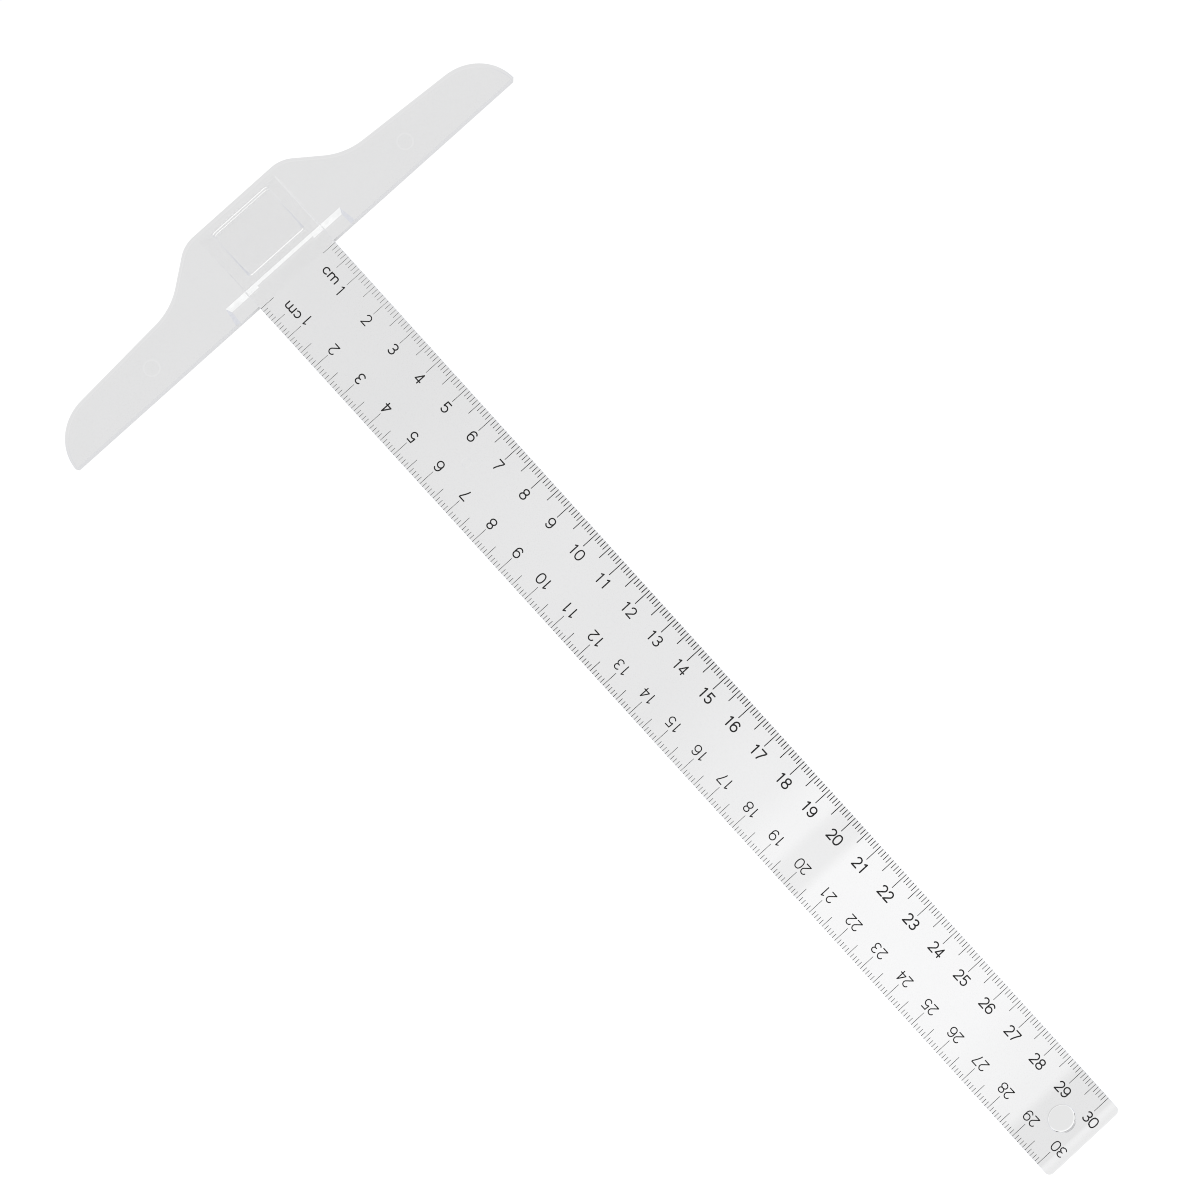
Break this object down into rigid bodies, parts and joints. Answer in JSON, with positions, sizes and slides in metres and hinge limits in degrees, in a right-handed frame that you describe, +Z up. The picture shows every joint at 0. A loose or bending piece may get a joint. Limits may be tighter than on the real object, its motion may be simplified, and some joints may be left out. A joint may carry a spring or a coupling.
{
  "type": "t-square",
  "caption": "Clear plastic T-square: a straight blade with a metric scale on both edges slides out of a fixed-angle head that hooks on the edge of a drawing board.",
  "frame": {"origin": "on the head's working face, on the blade's centre line, in the plane of the paper (the blade's underside)", "axes": "+X along the blade from the working face to the tip, +Y along the head, +Z up from the drawing board"},
  "size_m": [0.3288, 0.1492, 0.0056],
  "materials": {
    "head_plastic": "clear moulded plastic, glossy",
    "blade_plastic": "clear moulded plastic, glossy"
  },
  "bodies": {
    "head": {"head": "head_plastic"},
    "blade": {"blade": "blade_plastic"}
  },
  "joints": [
    {"name": "blade_slide", "type": "slide", "parent": "head", "child": "blade", "axis": [1, 0, 0], "range_m": [0, 0.024]}
  ]
}
